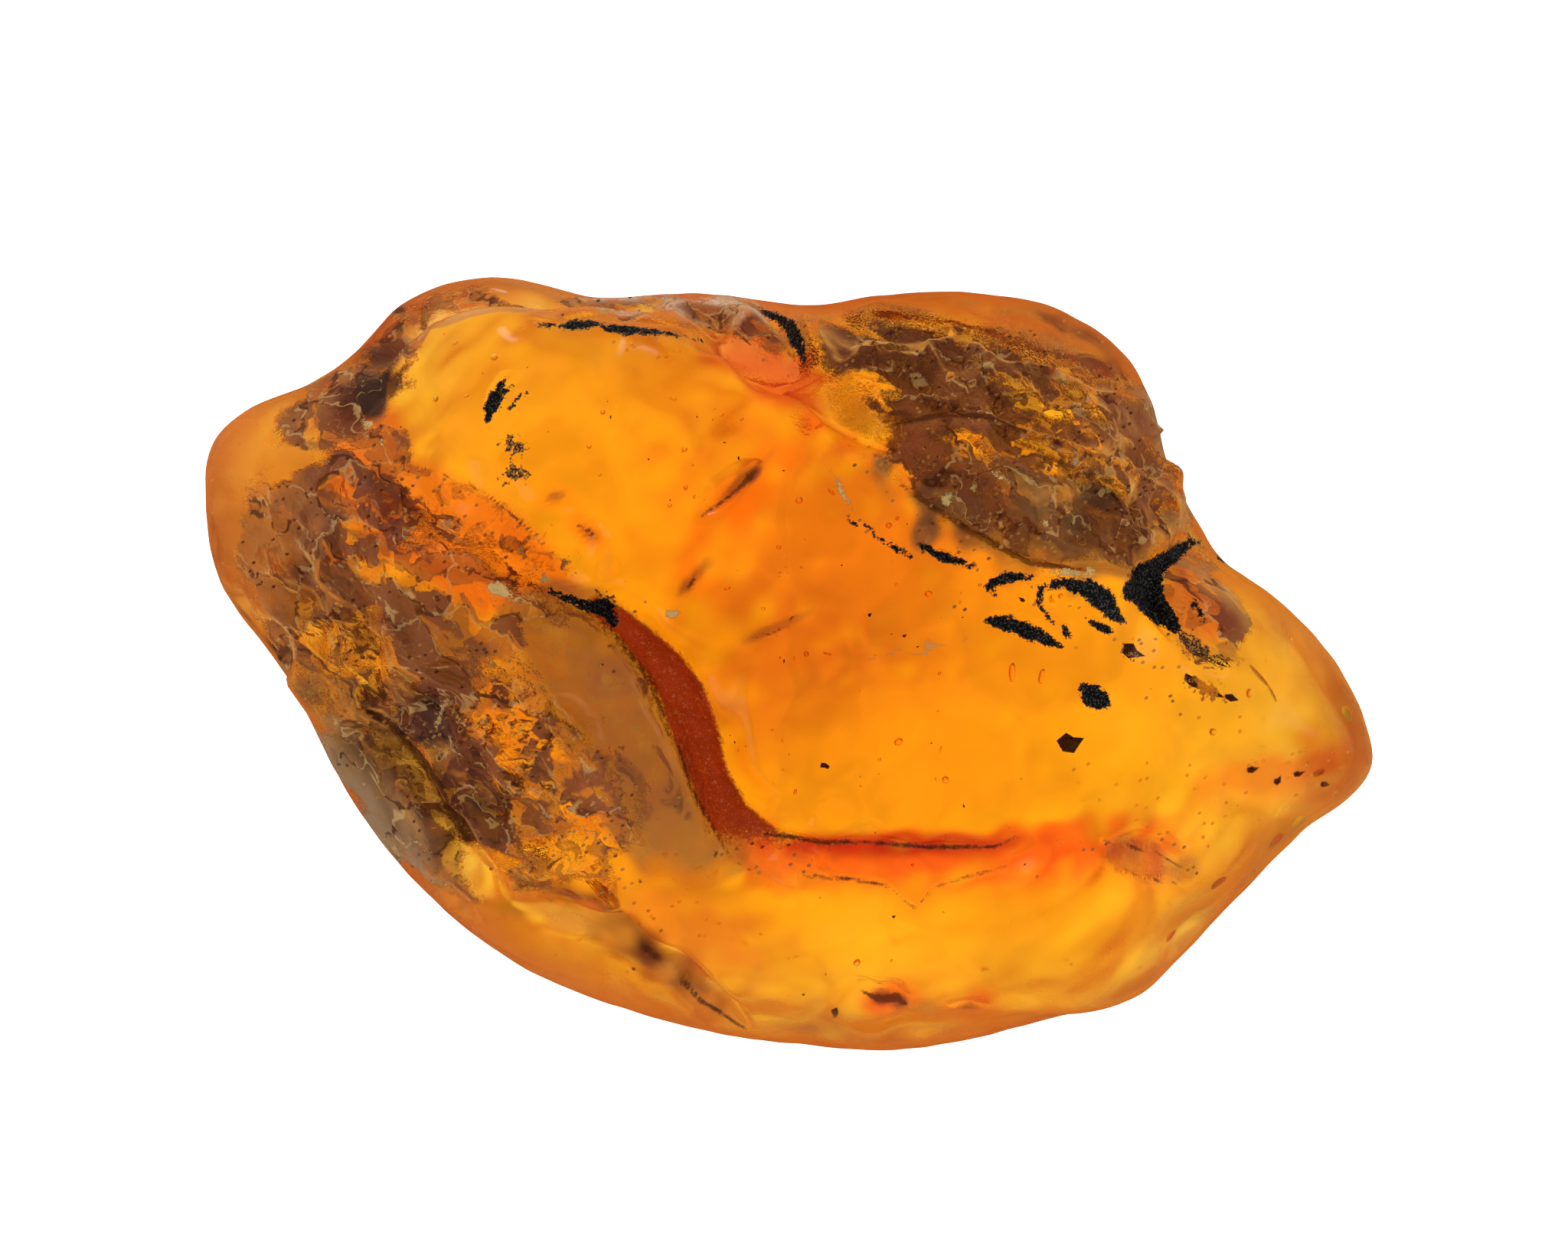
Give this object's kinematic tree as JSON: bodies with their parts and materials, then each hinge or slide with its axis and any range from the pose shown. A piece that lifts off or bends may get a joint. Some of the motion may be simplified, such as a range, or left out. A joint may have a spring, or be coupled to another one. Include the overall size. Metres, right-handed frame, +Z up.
{
  "type": "amber piece",
  "caption": "Tumbled and polished lump of natural amber, see-through gold and orange with red folds, brown crust and black char, lying on a flat ground face.",
  "frame": {"origin": "on the surface the lump lies on, under the middle of its box, inside its flat ground face", "axes": "+X along the lump towards its pointed end, +Y across its broad side, +Z up out of its broad polished side"},
  "size_m": [0.06, 0.0398, 0.0219],
  "materials": {
    "amber": "polished",
    "crust": "satin",
    "char": "matte"
  },
  "bodies": {
    "root": {"amber_piece": "amber"}
  },
  "joints": []
}
